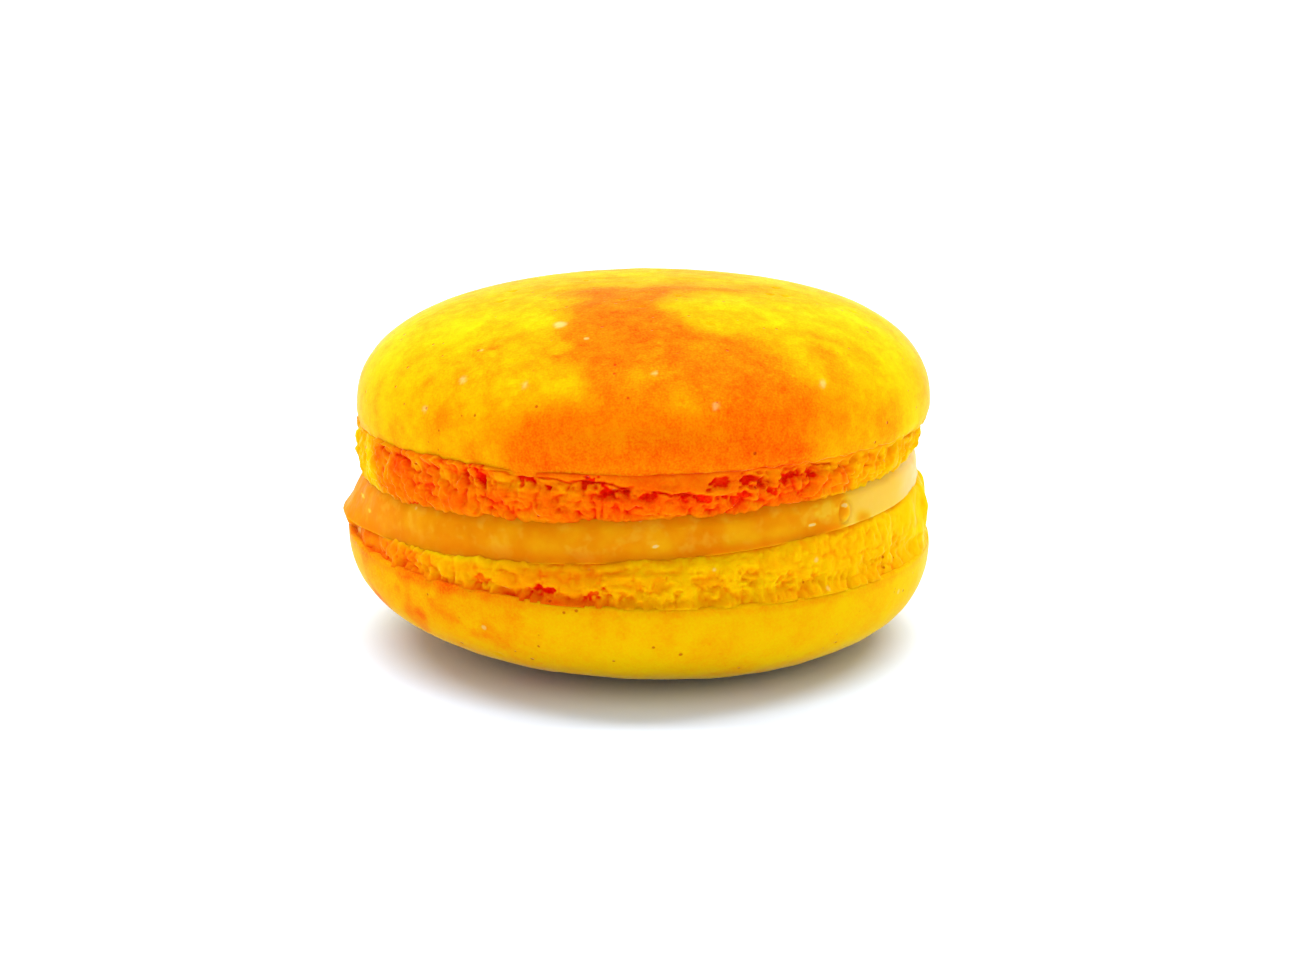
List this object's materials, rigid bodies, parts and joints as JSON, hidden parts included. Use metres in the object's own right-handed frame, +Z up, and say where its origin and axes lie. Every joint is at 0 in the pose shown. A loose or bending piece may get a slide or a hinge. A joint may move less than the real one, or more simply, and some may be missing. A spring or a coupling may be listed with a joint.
{
  "type": "french macaron",
  "caption": "Round sandwich biscuit: two smooth domed almond shells with ruffled feet around a layer of cream, lying flat on its lower shell.",
  "frame": {"origin": "on the flat spot under the lower shell that the macaron rests on, below the middle of the shells", "axes": "+Z up through both shells; +X to the right and -Y to the front, the side the picture is taken from"},
  "size_m": [0.0462, 0.046, 0.0278],
  "materials": {
    "top_shell": null,
    "filling": null,
    "bottom_shell": null
  },
  "bodies": {
    "root": {"top_shell": "top_shell", "filling": "filling", "bottom_shell": "bottom_shell"}
  },
  "joints": []
}
